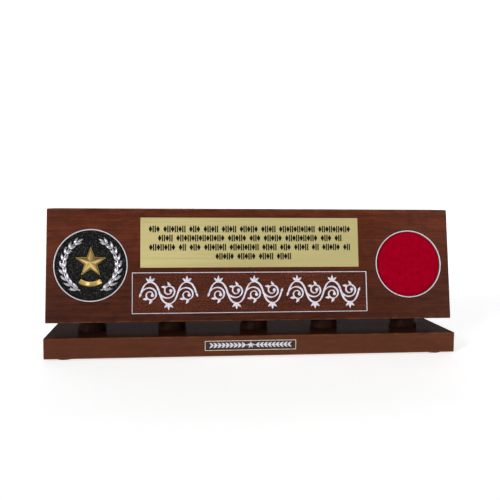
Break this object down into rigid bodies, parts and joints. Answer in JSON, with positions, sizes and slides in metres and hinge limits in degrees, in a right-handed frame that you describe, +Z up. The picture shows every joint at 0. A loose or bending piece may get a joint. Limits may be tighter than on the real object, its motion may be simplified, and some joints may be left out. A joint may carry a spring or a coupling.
{
  "type": "desk presentation plaque",
  "caption": "Sloping wooden desk plaque on round pegs above a flat base, with a medallion, engraved brass plate, ornament panel, coin recess and pockets in its top.",
  "frame": {"origin": "on the table, under the middle of the base board", "axes": "+X to the viewer's right along the length, -Y towards the viewer, +Z up"},
  "size_m": [0.44, 0.096, 0.157],
  "materials": {
    "mahogany": "satin lacquer over red-brown stain, long straight grain",
    "satin_brass": "fine brushed satin, pale gold",
    "gold_plate": "antiqued gold, dark in the hollows",
    "silver_plate": "antiqued silver, dark in the hollows",
    "black_enamel": "black, finely pebbled",
    "white_enamel": "white gloss enamel",
    "white_paint": "white paint on carved wood",
    "cream_line": "cream enamel",
    "dark_label": "dark brown satin veneer",
    "red_felt": "pressed wool felt, red",
    "black_felt": "pressed felt, black",
    "screw_steel": "bright zinc"
  },
  "bodies": {
    "root": {"base_board": "mahogany", "wedge_block": "mahogany", "spacer_peg_1": "mahogany", "spacer_peg_2": "mahogany", "spacer_peg_3": "mahogany", "spacer_peg_4": "mahogany", "spacer_peg_5": "mahogany", "mounting_screw_1": "screw_steel", "mounting_screw_2": "screw_steel", "mounting_screw_3": "screw_steel", "mounting_screw_4": "screw_steel", "mounting_screw_5": "screw_steel", "medallion_rim": "white_enamel", "coin_rim": "white_enamel", "medallion_disc": "black_enamel", "medallion_star": "gold_plate", "medallion_ribbon": "gold_plate", "medallion_wreath_left": "silver_plate", "medallion_wreath_right": "silver_plate", "coin_felt": "red_felt", "brass_plate": "satin_brass", "name_frame": "white_paint", "name_ornament_left": "white_paint", "name_ornament_centre": "white_paint", "name_ornament_right": "white_paint", "label_plate": "dark_label", "label_border": "cream_line", "label_ornament": "white_enamel", "felt_foot_1": "black_felt", "felt_foot_2": "black_felt", "felt_foot_3": "black_felt", "felt_foot_4": "black_felt"}
  },
  "joints": []
}
